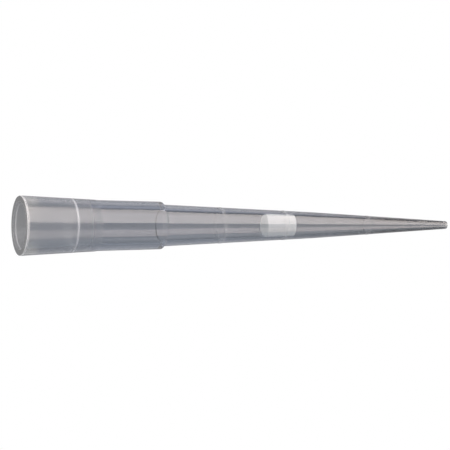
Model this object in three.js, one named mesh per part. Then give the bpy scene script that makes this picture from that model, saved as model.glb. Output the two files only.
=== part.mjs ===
// Filter pipette tip: a moulded conical tip with a porous filter plug pressed into its bore.
// Millimetres, +Z up. The tip stands on its mouth rim at z = 0 and narrows upwards to the nozzle,
// so a station is a height above the rim. Every form is turned about the Z axis.

import * as THREE from 'three';

// ---- Driving dimensions -------------------------------------------------------------------

// Mouth: entry with its small step, lead-in cone and sealing cone, up to the ledge that stops
// the pipette.
const RIM_BORE = 5.80;              // bore diameter at the rim face
const ENTRY_LENGTH = 0.28;
const ENTRY_END_BORE = 5.76;
const ENTRY_STEP_LENGTH = 0.13;     // of the bevel that steps in from the entry to the lead-in
const LEAD_IN_BORE = 5.66;          // bore diameter just past that bevel
const LEAD_IN_LENGTH = 1.84;
const LEAD_IN_END_BORE = 5.42;
const SEAL_LENGTH = 4.30;
const SEAL_END_BORE = 5.11;
const LEDGE_LENGTH = 0.14;          // of the steep face of the stop ledge
const THROAT_BORE = 4.62;           // bore diameter just past the stop ledge
const THROAT_LENGTH = 1.85;
const THROAT_END_BORE = 4.56;

// Upper bore: from the small step past the throat to the inner shoulder.
const UPPER_BORE = 4.40;
const UPPER_END_BORE = 4.10;
const INNER_SHOULDER_LEAD = 0.62;   // how far the inner shoulder starts before the outer one
const INNER_SHOULDER_LENGTH = 0.50;

// Tube and nozzle bores.
const TUBE_BORE = 3.80;             // bore diameter at the end of the inner shoulder
const NOZZLE_BORE = 2.48;           // bore diameter where the taper steepens
const ORIFICE_BORE = 0.50;

// Walls, measured radially from the bore at the same place.
const RIM_WALL = 0.74;
const COLLAR_END_WALL = 0.585;      // over the radius at the end of the sealing cone
const COLLAR_STEP = 0.045;          // how far the barrel is set in from the collar
const BARREL_END_WALL = 0.86;
const TUBE_WALL = 0.665;
const NOZZLE_WALL = 0.385;
const ORIFICE_WALL = 0.235;

// Outer lengths.
const COLLAR_PAST_SEAL = 2.95;      // from the end of the sealing cone to the end of the collar
const COLLAR_STEP_LENGTH = 0.12;
const BARREL_LENGTH = 8.44;
const TUBE_LENGTH = 19.81;
const NOZZLE_LENGTH = 18.53;

// Roundings.
const RIM_ROUND = 0.07;             // outer corner of the rim face
const RIM_INNER_ROUND = 0.05;       // inner corner of the rim face
const SHOULDER_ROUND = 0.26;
const LEDGE_ROUND = 0.08;
const ORIFICE_ROUND = 0.12;
const ROUNDING_SHARE = 0.85;        // most of a straight run that a rounding may take up

// Raised marks round the tube and nozzle, each at its own distance below the nozzle's end.
const MARK_WIDTH = 0.42;
const MARK_RISE = 0.03;
const MARK_BEVEL = 0.07;
const LOW_MARK_FROM_END = 11.00;
const MIDDLE_MARK_FROM_END = 22.35;
const HIGH_MARK_FROM_END = 30.75;

// Filter plug, seated in the tube's bore.
const FILTER_LENGTH = 3.84;
const FILTER_FROM_TAPER_CHANGE = 2.57;
const FILTER_MOUTH_ROUND = 0.12;    // edge of the end that faces the mouth
const FILTER_NOZZLE_ROUND = 0.16;   // edge of the end that goes in first
const FILTER_CLEARANCE = 0.02;      // radial gap between the plug and the bore

// Fineness of the turned surfaces.
const FACES_AROUND = 64;
const FACES_PER_ROUND = 4;

// ---- Stations -----------------------------------------------------------------------------

const leadInStart = ENTRY_LENGTH + ENTRY_STEP_LENGTH;
const sealStart = leadInStart + LEAD_IN_LENGTH;
const sealEnd = sealStart + SEAL_LENGTH;
const throatStart = sealEnd + LEDGE_LENGTH;
const throatEnd = throatStart + THROAT_LENGTH;
const collarEnd = sealEnd + COLLAR_PAST_SEAL;
const barrelStart = collarEnd + COLLAR_STEP_LENGTH;
const barrelEnd = barrelStart + BARREL_LENGTH;
const taperChange = barrelEnd + TUBE_LENGTH;
const nozzleEnd = taperChange + NOZZLE_LENGTH;
const innerShoulderStart = barrelEnd - INNER_SHOULDER_LEAD;
const innerShoulderEnd = innerShoulderStart + INNER_SHOULDER_LENGTH;
const filterEnd = taperChange - FILTER_FROM_TAPER_CHANGE;
const filterStart = filterEnd - FILTER_LENGTH;

// ---- Profile helpers ----------------------------------------------------------------------

const at = (radius, station) => new THREE.Vector2(radius, station);

// Radius at a station on a line through points given in order of station.
function radiusOn(line, station) {
  const next = line.findIndex((point) => point.y >= station);
  if (next < 0) return line[line.length - 1].x;
  if (next === 0) return line[0].x;
  const from = line[next - 1];
  const to = line[next];
  return THREE.MathUtils.mapLinear(station, from.y, to.y, from.x, to.x);
}

// Replaces the corner between two straight runs by an arc that is tangent to both.
function roundedCorner(before, corner, after, radius) {
  const back = before.clone().sub(corner);
  const ahead = after.clone().sub(corner);
  const halfAngle = Math.abs(back.angleTo(ahead)) / 2;
  const room = ROUNDING_SHARE * Math.min(back.length(), ahead.length());
  const reach = Math.min(radius / Math.tan(halfAngle), room);
  const start = corner.clone().add(back.setLength(reach));
  const end = corner.clone().add(ahead.setLength(reach));
  const middle = start.clone().add(end).multiplyScalar(0.5);
  const arcRadius = reach * Math.tan(halfAngle);
  const toCentre = middle.clone().sub(corner).setLength(arcRadius / Math.sin(halfAngle));
  const centre = corner.clone().add(toCentre);
  const startAngle = start.clone().sub(centre).angle();
  let sweep = end.clone().sub(centre).angle() - startAngle;
  if (sweep > Math.PI) sweep -= 2 * Math.PI;
  if (sweep < -Math.PI) sweep += 2 * Math.PI;
  const arc = [];
  for (let i = 0; i <= FACES_PER_ROUND; i += 1) {
    const angle = startAngle + (sweep * i) / FACES_PER_ROUND;
    arc.push(at(centre.x + arcRadius * Math.cos(angle), centre.y + arcRadius * Math.sin(angle)));
  }
  return arc;
}

// A corner is a point, or { point, rounding } where an arc takes its place.
function rounded(corners) {
  const points = corners.map((corner) => corner.point ?? corner);
  return corners.flatMap((corner, i) => {
    if (!corner.rounding) return [points[i]];
    const before = points[(i + points.length - 1) % points.length];
    const after = points[(i + 1) % points.length];
    return roundedCorner(before, points[i], after, corner.rounding);
  });
}

function turned(profile) {
  const geometry = new THREE.LatheGeometry(profile, FACES_AROUND);
  geometry.rotateX(Math.PI / 2);
  return geometry;
}

// ---- Tip body -----------------------------------------------------------------------------

const rimRadius = RIM_BORE / 2 + RIM_WALL;
const collarEndRadius = SEAL_END_BORE / 2 + COLLAR_END_WALL;
const barrelRadius = collarEndRadius - COLLAR_STEP;
const barrelEndRadius = UPPER_END_BORE / 2 + BARREL_END_WALL;
const tubeRadius = TUBE_BORE / 2 + TUBE_WALL;
const taperChangeRadius = NOZZLE_BORE / 2 + NOZZLE_WALL;
const nozzleEndRadius = ORIFICE_BORE / 2 + ORIFICE_WALL;

// The bore below the shoulder, which the filter plug follows too.
const tubeBore = [
  at(TUBE_BORE / 2, innerShoulderEnd),
  at(NOZZLE_BORE / 2, taperChange),
  at(ORIFICE_BORE / 2, nozzleEnd),
];

// The outside below the shoulder, before its marks are raised.
const tubeOutside = [
  at(tubeRadius, barrelEnd),
  at(taperChangeRadius, taperChange),
  at(nozzleEndRadius, nozzleEnd),
];

// Corners of one raised mark: up a bevel, along its face and down again.
function mark(fromEnd) {
  const start = nozzleEnd - fromEnd - MARK_WIDTH / 2;
  const end = start + MARK_WIDTH;
  return [
    at(radiusOn(tubeOutside, start), start),
    at(radiusOn(tubeOutside, start + MARK_BEVEL) + MARK_RISE, start + MARK_BEVEL),
    at(radiusOn(tubeOutside, end - MARK_BEVEL) + MARK_RISE, end - MARK_BEVEL),
    at(radiusOn(tubeOutside, end), end),
  ];
}

function markedOutside() {
  const marks = [HIGH_MARK_FROM_END, MIDDLE_MARK_FROM_END, LOW_MARK_FROM_END].map(mark);
  const isClear = (point) => !marks.some((m) => point.y >= m[0].y && point.y <= m[3].y);
  const corners = [...tubeOutside.slice(1, -1).filter(isClear), ...marks.flat()];
  return corners.sort((a, b) => a.y - b.y);
}

function tipBody() {
  const outside = [
    { point: at(rimRadius, 0), rounding: RIM_ROUND },
    at(collarEndRadius, collarEnd),
    at(barrelRadius, barrelStart),
    { point: at(barrelEndRadius, barrelEnd), rounding: SHOULDER_ROUND },
    at(tubeRadius, barrelEnd),
    ...markedOutside(),
    { point: at(nozzleEndRadius, nozzleEnd), rounding: ORIFICE_ROUND },
  ];
  const bore = [
    at(ORIFICE_BORE / 2, nozzleEnd),
    at(NOZZLE_BORE / 2, taperChange),
    at(TUBE_BORE / 2, innerShoulderEnd),
    at(UPPER_END_BORE / 2, innerShoulderStart),
    at(UPPER_BORE / 2, throatEnd),
    at(THROAT_END_BORE / 2, throatEnd),
    { point: at(THROAT_BORE / 2, throatStart), rounding: LEDGE_ROUND },
    at(SEAL_END_BORE / 2, sealEnd),
    at(LEAD_IN_END_BORE / 2, sealStart),
    at(LEAD_IN_BORE / 2, leadInStart),
    at(ENTRY_END_BORE / 2, ENTRY_LENGTH),
    { point: at(RIM_BORE / 2, 0), rounding: RIM_INNER_ROUND },
  ];
  const profile = rounded([...outside, ...bore]);
  profile.push(profile[0].clone());
  const material = new THREE.MeshStandardMaterial({
    color: 0xa9adb3, roughness: 0.18, metalness: 0, transparent: true, opacity: 0.55,
  });
  const mesh = new THREE.Mesh(turned(profile), material);
  mesh.name = 'tip_body';
  return mesh;
}

// ---- Filter plug --------------------------------------------------------------------------

function filterPlug() {
  const radiusAt = (station) => radiusOn(tubeBore, station) - FILTER_CLEARANCE;
  const profile = rounded([
    at(0, filterStart),
    { point: at(radiusAt(filterStart), filterStart), rounding: FILTER_MOUTH_ROUND },
    { point: at(radiusAt(filterEnd), filterEnd), rounding: FILTER_NOZZLE_ROUND },
    at(0, filterEnd),
  ]);
  const material = new THREE.MeshStandardMaterial({ color: 0xf1f0ee, roughness: 0.9, metalness: 0 });
  const mesh = new THREE.Mesh(turned(profile), material);
  mesh.name = 'filter_plug';
  return mesh;
}

// ---- Assembly -----------------------------------------------------------------------------

const tip = new THREE.Group();
tip.name = 'filter_pipette_tip';
tip.add(tipBody(), filterPlug());

export default tip;
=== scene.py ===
"""Looks of the filter pipette tip: a smoky clear moulded body round a white porous filter plug."""

import math
from typing import NamedTuple

import bpy
from mathutils import Matrix, Vector


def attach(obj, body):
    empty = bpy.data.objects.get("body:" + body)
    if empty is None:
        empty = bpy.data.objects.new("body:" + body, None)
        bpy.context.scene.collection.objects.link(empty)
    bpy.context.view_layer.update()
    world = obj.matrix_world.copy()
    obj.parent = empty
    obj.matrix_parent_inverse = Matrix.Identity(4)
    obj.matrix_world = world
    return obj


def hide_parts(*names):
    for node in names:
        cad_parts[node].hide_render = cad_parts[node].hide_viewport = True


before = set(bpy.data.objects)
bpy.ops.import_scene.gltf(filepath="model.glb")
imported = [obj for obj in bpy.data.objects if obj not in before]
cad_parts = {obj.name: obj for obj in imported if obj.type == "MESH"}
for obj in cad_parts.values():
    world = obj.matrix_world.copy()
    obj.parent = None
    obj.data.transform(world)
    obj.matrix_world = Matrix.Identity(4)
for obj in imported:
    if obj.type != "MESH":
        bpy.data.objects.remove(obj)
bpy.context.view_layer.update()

MM = 0.001
TOLERANCE = 0.01 * MM
SAME_PLACE_DIGITS = 7               # of metres: vertices that agree in these are one point
ON_PLANE = 1e-6                     # farthest that a vertex on the section plane lies from it
ON_AXIS = 1e-7                      # a smaller radius counts as a point on the axis


# ---- The tip's forms that scatter light -------------------------------------------------------

class Form(NamedTuple):
    """An edge, step or ring. Lengths are in mm."""
    low: float                      # heights between which its corners lie
    high: float
    in_bore: bool
    frost: float                    # share of light that it scatters
    fade: float                     # distance from its corners at which that has faded out


SCATTERING_FORMS = (
    Form(0.005, 0.09, False, 0.85, 0.02),    # outer edge of the rim
    Form(0.005, 0.07, True, 0.20, 0.02),     # inner edge of the rim
    Form(0.27, 0.42, True, 0.50, 0.03),      # entry step
    Form(6.50, 6.76, True, 0.90, 0.10),      # ledge that stops the pipette
    Form(8.48, 8.60, True, 0.35, 0.05),      # end of the throat
    Form(9.45, 9.65, False, 0.05, 0.05),     # end of the collar
    Form(17.40, 17.98, True, 0.10, 0.05),    # inner shoulder
    Form(17.75, 18.10, False, 0.07, 0.05),   # shoulder
    Form(25.30, 26.00, False, 0.17, 0.05),   # raised rings
    Form(33.70, 34.40, False, 0.17, 0.05),
    Form(45.05, 45.75, False, 0.12, 0.05),
    Form(56.20, 56.45, False, 0.12, 0.05),   # end of the nozzle, outside and in the bore
    Form(56.20, 56.45, True, 0.12, 0.60),
)

# ---- Fineness and finish of the turned surfaces -----------------------------------------------

TURNED_STEPS = 256
SHARP_ANGLE = math.radians(24)
HOLDING_EDGE = 0.05 * MM            # from a corner, so that long walls keep their own normals
SHORTEST_HELD_WALL = 4 * HOLDING_EDGE
MATT_BORE = (0.35 * MM, 8.52 * MM)  # heights of the matt bore, from its entry step to its throat
COLLAR_END = 9.50 * MM
MATT_COLLAR = 0.55                  # share of that finish on the outside, at the collar's end
MATT_AT_RIM = 0.4                   # share of the collar's own finish that its start at the rim has
ORIFICE_HEIGHT = 56.3 * MM          # the bore's surface counts as outside from here on

NOISE_DETAIL = 3.0                  # of every noise in the materials

# ---- The clear plastic ------------------------------------------------------------------------
# What is seen through a surface is darkened by the square root of the tint.

CLEAR_TINT = (0.97, 0.97, 0.97, 1)

# Painted shade on a view into the plastic, through the rim's face and from the bore.
RIM_PAINTED_SHADE = (0.06, 0.06, 0.065, 1)
BORE_PAINTED_SHADE = (0.35, 0.35, 0.37, 1)
RIM_TO_WALL = (0.005 * MM, 0.01 * MM)   # heights where the rim's face gives way to the outer wall

# Painted shade on a view out of the tip, at its mouth, its wide part and its slim end.
PAINTED_SHADE_BEHIND_MOUTH = (0.182, 0.184, 0.184, 1)
PAINTED_SHADE_BEHIND_WIDE = (0.122, 0.138, 0.174, 1)
PAINTED_SHADE_BEHIND_SLIM = (0.111, 0.114, 0.125, 1)
MOUTH_TO_BODY = (2.0 * MM, 2.4 * MM)    # heights between which the one changes into the other
WIDE_TO_SLIM = (16 * MM, 48 * MM)

# The same painted shade where the wall is seen along its surface, and along the line where that wall
# begins.
# How far a surface slants away from the view runs from 0, face on, to 1, edge on.
PAINTED_SHADE_BEHIND_WIDE_EDGE = (0.043, 0.054, 0.082, 1)
PAINTED_SHADE_BEHIND_SLIM_EDGE = (0.0015, 0.0015, 0.0020, 1)
PAINTED_SHADE_BEHIND_WALL_LINE = (0.020, 0.026, 0.042, 1)
SLANT_OF_EDGE = (0.06, 0.13)
SLANT_PAST_LINE = (0.14, 0.17)
NOZZLE_END = (42 * MM, 52 * MM)     # heights over which that painted dark wall takes up more of the nozzle
NOZZLE_SLANT_GAIN = 1.3

PLASTIC_IOR = 1.49
SMOOTH_ROUGHNESS = (0.02, 0.09)     # least and most, in faint flow marks along the tip
FLOW_SCALE = 700
FLOW_STRETCH = (1, 1, 0.12)
MATT_ROUGHNESS = 0.32               # what the matt finish adds

SMOKE_COLOUR = (0.49, 0.50, 0.53, 1)
SMOKE_DENSITY = 200                 # absorption per metre, before the colour's share
LAMP_THROUGH = (0.62, 0.65, 0.67, 1)    # of lamp light, where it passes each surface

FROST_COLOUR = (0.88, 0.88, 0.90, 1)
FROST_FROM_AIR = 0.35               # share of it that shows where it isn't seen through the wall
# The outline is painted shade: a dark matt colour where the wall is seen edge on.
PAINTED_OUTLINE_SHADE = (0.13, 0.13, 0.15, 1)
OUTLINE_SHARE = 0.85
SLANT_OF_OUTLINE = (0.70, 0.86)

# ---- The porous plastic -----------------------------------------------------------------------

GRAIN_SCALE = 5200                  # grains per metre
GRAIN_TONE = (0.76, 0.76, 0.76, 1)
PAINTED_GAP_SHADE = (0.64, 0.64, 0.64, 1)    # painted shade in the gaps between the grains, where they sink
GRAIN_RELIEF = 0.04 * MM
GRAIN_RELIEF_SHARE = 0.5
POROUS_ROUGHNESS = (0.8, 1.0)
POROUS_ROUGHNESS_SCALE = 2500
SCATTERED_INSIDE = 0.8              # share of light that goes into the plug before it leaves
SCATTERING_DEPTH = 1.0 * MM

# ---- Camera: looks up at the tip from below its mouth, with the axis across the picture --------

LENS = 212.0                        # focal length in mm, for a sensor of that width in mm
SENSOR = 36.0
VIEW_RANGE = (10 * MM, 10000 * MM)
AXIS_LEAN = math.radians(20.2)      # how far the tip's axis leans away from the picture plane
MOUTH_DISTANCE = 318.5 * MM
MOUTH_OFFSET = -24.72 * MM          # of the mouth from the middle of the view, along its right
AXIS_OFFSET = -0.08 * MM            # of the axis from the middle of the view, along its up
ROLL = math.radians(-0.085)         # of the picture about the line of sight

# ---- Stage and light --------------------------------------------------------------------------

WHITE = (1, 1, 1, 1)
FLOOR_HALF = 320 * MM
FLOOR_HEIGHT = -0.02 * MM           # just under the rim
FLOOR_COLOUR = (0.553, 0.577, 0.587, 1)
FLOOR_ROUGHNESS = 0.8
WORLD_AS_LIGHT = 0.45
WORLD_AS_SEEN = 1.0
SOFTBOX_DISTANCE = 450 * MM
SOFTBOX_TARGET = Vector((0, 0, 28 * MM))
BOUNCES = 32

# Name, azimuths and elevations that it spans in degrees, radiance and colour. Azimuths run
# anticlockwise as seen from above, from the camera's side.
SOFTBOXES = (
    ("softbox_left", (-80, -12), (2, 46), 4.4, (1.0, 0.89, 0.82)),
    ("softbox_right", (18, 55), (13, 50), 1.9, (1.0, 0.88, 0.82)),
    ("softbox_low", (-70, 10), (-75, -35), 5.0, (1.0, 0.96, 0.92)),
    ("softbox_side", (60, 100), (2, 48), 0.85, (0.76, 0.89, 1.0)),
    ("softbox_edge", (-130, -106), (2, 38), 0.9, (1.0, 0.90, 0.90)),
)
BACK_SOFTBOX = ("softbox_back", (115, 245), (2, 46), 3.4, (1.0, 0.98, 0.96))


# ---- Turned meshes from the frame -------------------------------------------------------------

class Corner(NamedTuple):
    """A corner of a turned outline."""
    radius: float
    height: float
    form: Form | None
    in_bore: bool


class Station(NamedTuple):
    """A point of a turned outline, with the finish that its surface has there."""
    radius: float
    height: float
    frost: float
    matt: float
    outside: float


def half_section(node):
    """The outline of a turned CAD node in the half-plane y = 0, x >= 0, as (radius, height) pairs."""
    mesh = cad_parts[node].data
    places = [tuple(round(c, SAME_PLACE_DIGITS) for c in vertex.co) for vertex in mesh.vertices]
    neighbours = {}
    for edge in mesh.edges:
        ends = [places[vertex] for vertex in edge.vertices]
        on_plane = all(abs(y) < ON_PLANE and x > -ON_PLANE for x, y, _ in ends)
        if on_plane and ends[0] != ends[1]:
            (x_a, _, z_a), (x_b, _, z_b) = ends
            neighbours.setdefault((x_a, z_a), set()).add((x_b, z_b))
            neighbours.setdefault((x_b, z_b), set()).add((x_a, z_a))
    start = min(neighbours, key=lambda p: (p[1], p[0]))
    outline = [start]
    ahead = max(neighbours[start], key=lambda p: p[0])
    while ahead is not None:
        outline.append(ahead)
        ahead = next((p for p in neighbours[ahead] if p not in outline), None)
    return outline


def form_at(height, in_bore):
    """The form that a corner belongs to, if it belongs to one."""
    for form in SCATTERING_FORMS:
        if form.low * MM <= height <= form.high * MM and in_bore == form.in_bore:
            return form
    return None


def held_points(corner, length):
    """Points near one corner of a wall, as (share of its length, frost), that hold its plain part."""
    fade = corner.form.fade * MM if corner.form else 0.0
    if fade <= HOLDING_EDGE:
        return [(HOLDING_EDGE / length, 0.0)]
    frost_left = corner.form.frost * (1 - HOLDING_EDGE / fade)
    return [(HOLDING_EDGE / length, frost_left), (fade / length, 0.0)]


def wall_points(start, end):
    """Points of the wall from one corner up to the next, as (share of its length, frost)."""
    length = math.dist(start[:2], end[:2])
    points = [(0.0, start.form.frost if start.form else 0.0)]
    within_one_form = start.form is not None and start.form is end.form
    if length > SHORTEST_HELD_WALL and not within_one_form:
        points += held_points(start, length)
        points += [(1 - share, frost) for share, frost in reversed(held_points(end, length))]
    return points


def matt_at(height, in_bore):
    """Share of the matt finish: all of it in the mouth's bore, some of it outside on the collar."""
    if in_bore:
        return float(MATT_BORE[0] <= height <= MATT_BORE[1])
    if height >= COLLAR_END + TOLERANCE:
        return 0.0
    return MATT_COLLAR * (MATT_AT_RIM + (1 - MATT_AT_RIM) * height / COLLAR_END)


def finished(outline, closed):
    """Stations of an outline that starts at its lowest point and runs up the outside first."""
    top = outline.index(max(outline, key=lambda p: p[1]))
    corners = []
    for i, (radius, height) in enumerate(outline):
        in_bore = i > top
        corners.append(Corner(radius, height, form_at(height, in_bore) if closed else None, in_bore))
    ends = corners[1:] + corners[:1] if closed else corners[1:]
    stations = []
    for start, end in zip(corners, ends):
        for share, frost in wall_points(start, end):
            radius = start.radius + (end.radius - start.radius) * share
            height = start.height + (end.height - start.height) * share
            in_bore = start.in_bore or (share > 0 and end.in_bore)
            outside = float(not in_bore or height > ORIFICE_HEIGHT)
            stations.append(Station(radius, height, frost, matt_at(height, in_bore), outside))
    if not closed:
        stations.append(Station(*outline[-1], 0.0, 0.0, 1.0))
    return stations


def turned_mesh(name, stations, closed):
    """Turns stations about Z. Those on the axis become one vertex each."""
    vertices, rings, finishes = [], [], []
    for station in stations:
        steps = 1 if station.radius < ON_AXIS else TURNED_STEPS
        rings.append(list(range(len(vertices), len(vertices) + steps)))
        for i in range(steps):
            angle = 2 * math.pi * i / TURNED_STEPS
            x, y = station.radius * math.cos(angle), station.radius * math.sin(angle)
            vertices.append((x, y, station.height))
        finishes += [(station.frost, station.matt, station.outside)] * steps
    pairs = list(zip(rings, rings[1:]))
    if closed:
        pairs.append((rings[-1], rings[0]))
    faces = []
    for low, high in pairs:
        for i in range(TURNED_STEPS):
            j = (i + 1) % TURNED_STEPS
            if len(low) == 1:
                faces.append((low[0], high[j], high[i]))
            elif len(high) == 1:
                faces.append((low[i], low[j], high[0]))
            else:
                faces.append((low[i], low[j], high[j], high[i]))
    mesh = bpy.data.meshes.new(name)
    mesh.from_pydata(vertices, [], faces)
    for attribute_name, values in zip(("frost", "matt", "outside"), zip(*finishes)):
        mesh.attributes.new(attribute_name, "FLOAT", "POINT").data.foreach_set("value", values)
    mesh.validate()
    mesh.shade_smooth()
    mesh.set_sharp_from_angle(angle=SHARP_ANGLE)
    return mesh


def turned_piece(name, node, material):
    """A smooth piece that stands for a turned CAD node."""
    outline = half_section(node)
    closed = outline[0][0] > ON_AXIS
    piece = bpy.data.objects.new(name, turned_mesh(name, finished(outline, closed), closed))
    bpy.context.scene.collection.objects.link(piece)
    piece.data.materials.append(material)
    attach(piece, "root")
    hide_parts(node)


def ends_of(node):
    """The lowest and the highest height of a CAD node."""
    heights = [vertex.co.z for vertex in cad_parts[node].data.vertices]
    return min(heights), max(heights)


# ---- Shader nodes -----------------------------------------------------------------------------

def new_material(name):
    """A material with nothing but its output node."""
    material = bpy.data.materials.new(name)
    material.use_nodes = True
    tree = material.node_tree
    tree.nodes.clear()
    return material, tree, tree.nodes.new("ShaderNodeOutputMaterial")


def attribute(tree, name):
    """One of the finishes that turned_mesh writes on its vertices."""
    node = tree.nodes.new("ShaderNodeAttribute")
    node.attribute_name = name
    return node.outputs["Fac"]


def object_place(tree):
    """The place on the object, in metres."""
    return tree.nodes.new("ShaderNodeTexCoord").outputs["Object"]


def noise(tree, scale, stretch=(1, 1, 1)):
    """Noise in the object's own space, scale in waves per metre."""
    size = tree.nodes.new("ShaderNodeMapping")
    size.inputs["Scale"].default_value = stretch
    pattern = tree.nodes.new("ShaderNodeTexNoise")
    pattern.inputs["Scale"].default_value = scale
    pattern.inputs["Detail"].default_value = NOISE_DETAIL
    tree.links.new(object_place(tree), size.inputs["Vector"])
    tree.links.new(size.outputs[0], pattern.inputs["Vector"])
    return pattern.outputs["Fac"]


def ranged(tree, value, low, high, start=0.0, end=1.0):
    """A value between start and end stretched over another range."""
    node = tree.nodes.new("ShaderNodeMapRange")
    node.inputs["From Min"].default_value = start
    node.inputs["From Max"].default_value = end
    node.inputs["To Min"].default_value = low
    node.inputs["To Max"].default_value = high
    tree.links.new(value, node.inputs["Value"])
    return node.outputs["Result"]


def mixed(tree, factor, *colours):
    """A mix of two colours, each a socket or a fixed colour."""
    node = tree.nodes.new("ShaderNodeMix")
    node.data_type = "RGBA"
    tree.links.new(factor, node.inputs["Factor"])
    for name, colour in zip("AB", colours):
        if isinstance(colour, tuple):
            node.inputs[name].default_value = colour
        else:
            tree.links.new(colour, node.inputs[name])
    return node.outputs["Result"]


def maths(tree, operation, *values):
    """The result of an operation on values, each a socket or a fixed number."""
    node = tree.nodes.new("ShaderNodeMath")
    node.operation = operation
    for socket, value in zip(node.inputs, values):
        if isinstance(value, (int, float)):
            socket.default_value = value
        else:
            tree.links.new(value, socket)
    return node.outputs[0]


def coloured(tree, kind, colour):
    """A shader of a kind that needs no more than its colour."""
    node = tree.nodes.new(kind)
    node.inputs["Color"].default_value = colour
    return node.outputs[0]


def blended(tree, factor, *shaders):
    """A mix of two shaders."""
    node = tree.nodes.new("ShaderNodeMixShader")
    for socket, source in zip(node.inputs, (factor, *shaders)):
        tree.links.new(source, socket)
    return node.outputs[0]


# ---- Materials --------------------------------------------------------------------------------

def painted_shade_into_plastic(tree, outside, height, filter_ends):
    """Painted shade on a view into the plastic: dark at the rim's face, and in the bore except beside
    the filter.
    """
    past_rim = ranged(tree, height, 0.0, 1.0, *RIM_TO_WALL)
    from_outside = mixed(tree, past_rim, RIM_PAINTED_SHADE, CLEAR_TINT)
    past_start = maths(tree, "GREATER_THAN", height, filter_ends[0])
    before_end = maths(tree, "LESS_THAN", height, filter_ends[1])
    beside_filter = maths(tree, "MULTIPLY", past_start, before_end)
    from_bore = mixed(tree, beside_filter, BORE_PAINTED_SHADE, CLEAR_TINT)
    return mixed(tree, outside, from_bore, from_outside)


def painted_shade_out_of_plastic(tree, outside, height, slant):
    """Painted shade on a view out of the plastic: dark on the outside, more so where the wall is seen
    edge on.
    """
    slim = ranged(tree, height, 0.0, 1.0, *WIDE_TO_SLIM)
    slant_gain = ranged(tree, height, 1.0, NOZZLE_SLANT_GAIN, *NOZZLE_END)
    along_wall = ranged(tree, maths(tree, "MULTIPLY", slant, slant_gain), 0.0, 1.0, *SLANT_OF_EDGE)
    past_line = ranged(tree, slant, 0.0, 1.0, *SLANT_PAST_LINE)
    across_shade = mixed(tree, slim, PAINTED_SHADE_BEHIND_WIDE, PAINTED_SHADE_BEHIND_SLIM)
    wide_edge_shade = mixed(tree, past_line, PAINTED_SHADE_BEHIND_WALL_LINE, PAINTED_SHADE_BEHIND_WIDE_EDGE)
    edge_shade = mixed(tree, slim, wide_edge_shade, PAINTED_SHADE_BEHIND_SLIM_EDGE)
    body_shade = mixed(tree, along_wall, across_shade, edge_shade)
    past_mouth = ranged(tree, height, 0.0, 1.0, *MOUTH_TO_BODY)
    outside_shade = mixed(tree, past_mouth, PAINTED_SHADE_BEHIND_MOUTH, body_shade)
    return mixed(tree, outside, CLEAR_TINT, outside_shade)


def refracting_plastic(tree, tint_and_painted_shade):
    """Smooth plastic with faint flow marks, matt where the mesh says so."""
    shader = tree.nodes.new("ShaderNodeBsdfPrincipled")
    shader.inputs["Transmission Weight"].default_value = 1.0
    shader.inputs["IOR"].default_value = PLASTIC_IOR
    flow = ranged(tree, noise(tree, FLOW_SCALE, FLOW_STRETCH), *SMOOTH_ROUGHNESS)
    roughness = maths(tree, "MULTIPLY_ADD", attribute(tree, "matt"), MATT_ROUGHNESS, flow)
    tree.links.new(tint_and_painted_shade, shader.inputs["Base Color"])
    tree.links.new(roughness, shader.inputs["Roughness"])
    return shader.outputs[0]


def smoky_plastic_with_painted_shade(filter_ends):
    """Clear moulded plastic that darkens with depth, with painted shade on what is seen through it and
    a painted dark outline, frosted on its edges and matt in its mouth.
    """
    material, tree, output = new_material("smoky_clear_plastic_with_painted_shade")
    outside = attribute(tree, "outside")
    leaving = tree.nodes.new("ShaderNodeNewGeometry").outputs["Backfacing"]
    axes = tree.nodes.new("ShaderNodeSeparateXYZ")
    tree.links.new(object_place(tree), axes.inputs[0])
    height = axes.outputs["Z"]
    slant = tree.nodes.new("ShaderNodeLayerWeight").outputs["Facing"]

    # The plastic's tint, darkened by painted shade on what is seen through it.
    tint_and_painted_shade = mixed(tree, leaving,
                 painted_shade_into_plastic(tree, outside, height, filter_ends),
                 painted_shade_out_of_plastic(tree, outside, height, slant))
    clear = refracting_plastic(tree, tint_and_painted_shade)

    # Its outline is a thin dark line of painted shade: a dark matt coat where the wall is seen edge
    # on.
    entering = maths(tree, "MULTIPLY", outside, maths(tree, "SUBTRACT", 1.0, leaving))
    grazing = ranged(tree, slant, 0.0, OUTLINE_SHARE, *SLANT_OF_OUTLINE)
    outline = coloured(tree, "ShaderNodeBsdfDiffuse", PAINTED_OUTLINE_SHADE)
    body = blended(tree, maths(tree, "MULTIPLY", entering, grazing), clear, outline)

    # Frosted edges show most where they are seen through the wall.
    within = ranged(tree, leaving, FROST_FROM_AIR, 1.0)
    frost = coloured(tree, "ShaderNodeBsdfDiffuse", FROST_COLOUR)
    frosted = maths(tree, "MULTIPLY", attribute(tree, "frost"), within)
    surface = blended(tree, frosted, body, frost)

    # Lamps shine through, so that the filter inside is lit as it is in a real tip.
    is_lamp_light = tree.nodes.new("ShaderNodeLightPath").outputs["Is Shadow Ray"]
    passing = coloured(tree, "ShaderNodeBsdfTransparent", LAMP_THROUGH)
    tree.links.new(blended(tree, is_lamp_light, surface, passing), output.inputs["Surface"])

    smoke = tree.nodes.new("ShaderNodeVolumeAbsorption")
    smoke.inputs["Color"].default_value = SMOKE_COLOUR
    smoke.inputs["Density"].default_value = SMOKE_DENSITY
    tree.links.new(smoke.outputs[0], output.inputs["Volume"])
    return material


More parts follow.
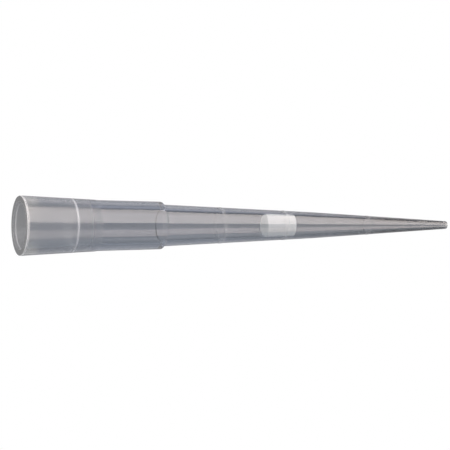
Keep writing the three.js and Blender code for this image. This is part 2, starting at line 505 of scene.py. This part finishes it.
def porous_plastic():
    """White sintered grains, pressed into a plug, with painted shade in the gaps between them."""
    material, tree, output = new_material("porous_filter_plastic")
    grains = tree.nodes.new("ShaderNodeTexVoronoi")
    grains.inputs["Scale"].default_value = GRAIN_SCALE
    tree.links.new(object_place(tree), grains.inputs["Vector"])
    from_grain = grains.outputs["Distance"]
    relief = tree.nodes.new("ShaderNodeBump")
    relief.inputs["Strength"].default_value = GRAIN_RELIEF_SHARE
    relief.inputs["Distance"].default_value = GRAIN_RELIEF
    relief.invert = True
    tree.links.new(from_grain, relief.inputs["Height"])

    shader = tree.nodes.new("ShaderNodeBsdfPrincipled")
    tree.links.new(mixed(tree, from_grain, GRAIN_TONE, PAINTED_GAP_SHADE), shader.inputs["Base Color"])
    roughness = ranged(tree, noise(tree, POROUS_ROUGHNESS_SCALE), *POROUS_ROUGHNESS)
    tree.links.new(roughness, shader.inputs["Roughness"])
    tree.links.new(relief.outputs[0], shader.inputs["Normal"])
    shader.inputs["Subsurface Weight"].default_value = SCATTERED_INSIDE
    shader.inputs["Subsurface Radius"].default_value = (1.0, 1.0, 1.0)   # as deep in each colour
    shader.inputs["Subsurface Scale"].default_value = SCATTERING_DEPTH
    tree.links.new(shader.outputs[0], output.inputs["Surface"])
    return material


def floor_material():
    """Pale and matt from above. From below it isn't there, so that the low camera sees the tip."""
    material, tree, output = new_material("pale_floor")
    top = tree.nodes.new("ShaderNodeBsdfPrincipled")
    top.inputs["Base Color"].default_value = FLOOR_COLOUR
    top.inputs["Roughness"].default_value = FLOOR_ROUGHNESS
    from_below = tree.nodes.new("ShaderNodeNewGeometry").outputs["Backfacing"]
    nothing = coloured(tree, "ShaderNodeBsdfTransparent", WHITE)
    tree.links.new(blended(tree, from_below, top.outputs[0], nothing), output.inputs["Surface"])
    return material


# ---- Stage ------------------------------------------------------------------------------------

def add_floor():
    """A plain square under the tip."""
    corners = [(x * FLOOR_HALF, y * FLOOR_HALF, FLOOR_HEIGHT)
               for x, y in ((-1, -1), (1, -1), (1, 1), (-1, 1))]
    mesh = bpy.data.meshes.new("floor")
    mesh.from_pydata(corners, [], [(0, 1, 2, 3)])
    floor = bpy.data.objects.new("floor", mesh)
    floor.data.materials.append(floor_material())
    bpy.context.scene.collection.objects.link(floor)
    floor.visible_shadow = False
    floor.visible_glossy = False


def add_world():
    """White where the camera, a gloss or the clear plastic looks at it, and softer as light."""
    world = bpy.data.worlds.new("studio")
    bpy.context.scene.world = world
    world.use_nodes = True
    tree = world.node_tree
    tree.nodes.clear()
    output = tree.nodes.new("ShaderNodeOutputWorld")
    as_light, as_seen = (tree.nodes.new("ShaderNodeBackground") for _ in range(2))
    for background, strength in ((as_light, WORLD_AS_LIGHT), (as_seen, WORLD_AS_SEEN)):
        background.inputs["Color"].default_value = WHITE
        background.inputs["Strength"].default_value = strength
    path = tree.nodes.new("ShaderNodeLightPath")
    reflected = maths(tree, "MAXIMUM", path.outputs["Is Glossy Ray"],
                      path.outputs["Is Transmission Ray"])
    seen = maths(tree, "MAXIMUM", path.outputs["Is Camera Ray"], reflected)
    shown = blended(tree, seen, as_light.outputs[0], as_seen.outputs[0])
    tree.links.new(shown, output.inputs["Surface"])


def add_softbox(name, azimuths, elevations, radiance, colour):
    """A lamp the camera doesn't see, which fills those angles and faces the tip."""
    azimuth, elevation = (math.radians(sum(pair) / 2) for pair in (azimuths, elevations))
    half_width, half_height = (math.radians((b - a) / 2) for a, b in (azimuths, elevations))
    lamp = bpy.data.lights.new(name, "AREA")
    lamp.shape = "RECTANGLE"
    lamp.size = 2 * SOFTBOX_DISTANCE * math.tan(half_width) * math.cos(elevation)
    lamp.size_y = 2 * SOFTBOX_DISTANCE * math.tan(half_height)
    lamp.energy = radiance * lamp.size * lamp.size_y * math.pi
    lamp.color = colour
    box = bpy.data.objects.new(name, lamp)
    bpy.context.scene.collection.objects.link(box)
    away = Vector((math.sin(azimuth) * math.cos(elevation),
                   -math.cos(azimuth) * math.cos(elevation),
                   math.sin(elevation)))
    box.location = SOFTBOX_TARGET + away * SOFTBOX_DISTANCE
    box.rotation_euler = away.to_track_quat("Z", "Y").to_euler()
    box.visible_camera = False
    return box


def add_camera():
    """The camera of the main view."""
    data = bpy.data.cameras.new("camera")
    data.sensor_width = SENSOR
    data.lens = LENS
    data.clip_start, data.clip_end = VIEW_RANGE
    camera = bpy.data.objects.new("camera", data)
    bpy.context.scene.collection.objects.link(camera)
    forward = Vector((0, math.cos(AXIS_LEAN), math.sin(AXIS_LEAN)))
    right = Vector((0, -math.sin(AXIS_LEAN), math.cos(AXIS_LEAN)))
    up = right.cross(forward)
    turn = Matrix.Rotation(-ROLL, 3, forward)
    right, up = turn @ right, turn @ up
    place = -MOUTH_OFFSET * right - AXIS_OFFSET * up - MOUTH_DISTANCE * forward
    basis = Matrix((right, up, -forward)).transposed().to_4x4()
    camera.matrix_world = Matrix.Translation(place) @ basis
    bpy.context.scene.camera = camera


# ---- The scene --------------------------------------------------------------------------------

add_camera()
turned_piece("clear_tip_body", "tip_body", smoky_plastic_with_painted_shade(ends_of("filter_plug")))
turned_piece("porous_filter", "filter_plug", porous_plastic())
add_floor()
add_world()
for softbox in SOFTBOXES:
    add_softbox(*softbox)
back = add_softbox(*BACK_SOFTBOX)
back.visible_glossy = back.visible_transmission = False

cycles = bpy.context.scene.cycles
cycles.max_bounces = cycles.glossy_bounces = cycles.transmission_bounces = BOUNCES
bpy.context.scene.view_settings.view_transform = "Standard"
